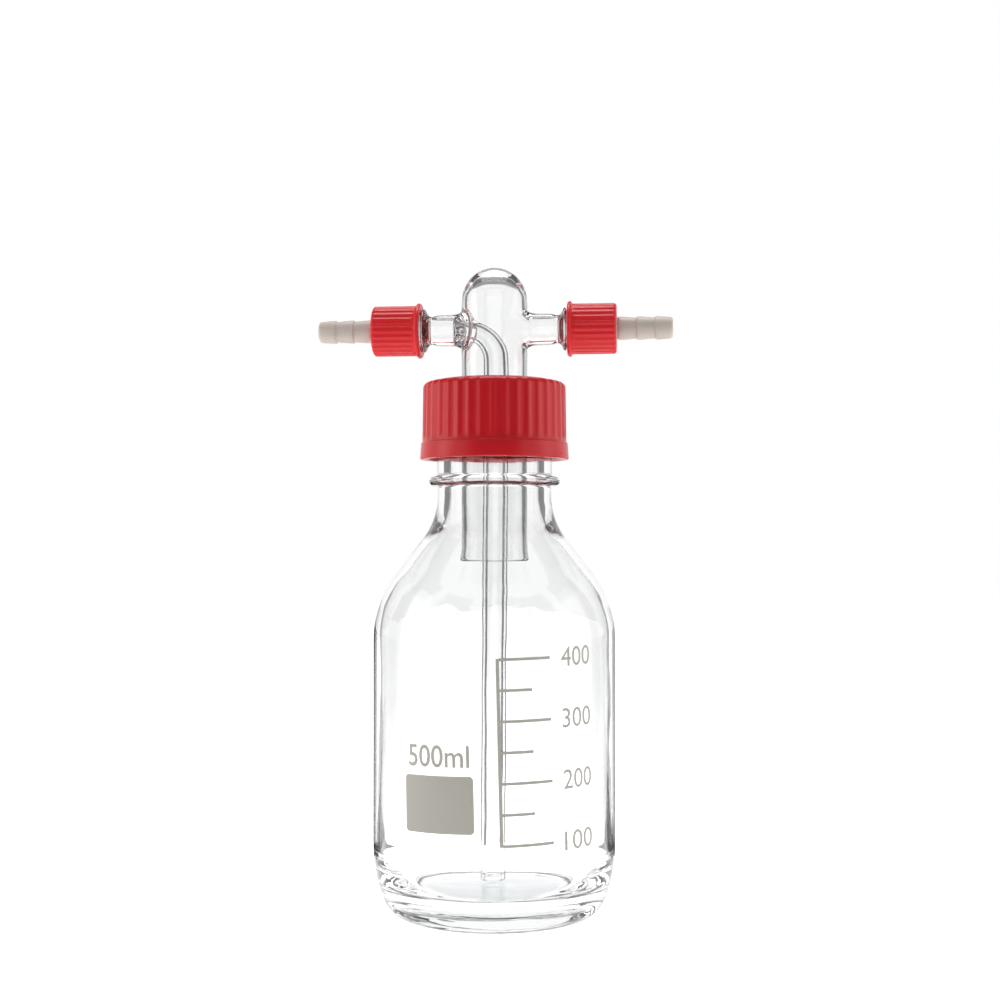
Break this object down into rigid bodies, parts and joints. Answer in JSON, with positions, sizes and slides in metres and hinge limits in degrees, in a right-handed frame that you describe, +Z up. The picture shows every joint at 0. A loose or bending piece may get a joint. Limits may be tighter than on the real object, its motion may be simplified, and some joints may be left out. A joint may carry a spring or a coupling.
{
  "type": "gas washing bottle",
  "caption": "Screw-neck laboratory bottle with a blown glass head that leads gas down a bubbling tube and out through a side arm with a screwed hose connection.",
  "frame": {"origin": "centre of the bottle's foot ring, on the surface it stands on", "axes": "+Z up along the bottle's axis, +X along the outlet arm, -X along the arm that feeds the bubbling tube, -Y is the front with the scale"},
  "size_m": [0.1274, 0.086, 0.2287],
  "materials": {
    "bottle_glass": "clear polished borosilicate, enamel scale on the front",
    "head_glass": "clear fire-polished borosilicate",
    "red_cap": "moulded red plastic, semi-gloss",
    "connector": "cloudy white plastic, satin",
    "silicone": "matt pale silicone",
    "slip_ring": "smooth white fluoropolymer"
  },
  "bodies": {
    "vessel": {"bottle": "bottle_glass", "gas_head": "head_glass", "neck_seal": "silicone"},
    "slip_ring": {"cap_liner_ring": "slip_ring"},
    "large_cap": {"screw_cap": "red_cap"},
    "left_nozzle": {"left_hose_connector": "connector", "left_seal": "silicone"},
    "left_cap": {"left_screw_cap": "red_cap"},
    "right_nozzle": {"right_hose_connector": "connector", "right_seal": "silicone"},
    "right_cap": {"right_screw_cap": "red_cap"}
  },
  "joints": [
    {"name": "large_cap_rise", "type": "slide", "parent": "vessel", "child": "slip_ring", "axis": [0, 0, 1], "range_m": [0, 0.007]},
    {"name": "large_cap_turn", "type": "hinge", "parent": "slip_ring", "child": "large_cap", "pos_m": [0, 0, 0.1735], "axis": [0, 0, 1], "range_deg": [0, 630]},
    {"name": "left_nozzle_draw", "type": "slide", "parent": "vessel", "child": "left_nozzle", "axis": [-1, 0, 0], "range_m": [0, 0.0075]},
    {"name": "left_cap_turn", "type": "hinge", "parent": "left_nozzle", "child": "left_cap", "pos_m": [-0.035, 0, 0.2063], "axis": [-1, 0, 0], "range_deg": [0, 1080]},
    {"name": "right_nozzle_draw", "type": "slide", "parent": "vessel", "child": "right_nozzle", "axis": [1, 0, 0], "range_m": [0, 0.0075]},
    {"name": "right_cap_turn", "type": "hinge", "parent": "right_nozzle", "child": "right_cap", "pos_m": [0.035, 0, 0.2063], "axis": [1, 0, 0], "range_deg": [0, 1080]}
  ],
  "couplings": [
    {"joint": "large_cap_rise", "follows": "large_cap_turn", "m_per_rad": 0.0006366},
    {"joint": "left_nozzle_draw", "follows": "left_cap_turn", "m_per_rad": 0.0003978},
    {"joint": "right_nozzle_draw", "follows": "right_cap_turn", "m_per_rad": 0.0003978}
  ]
}
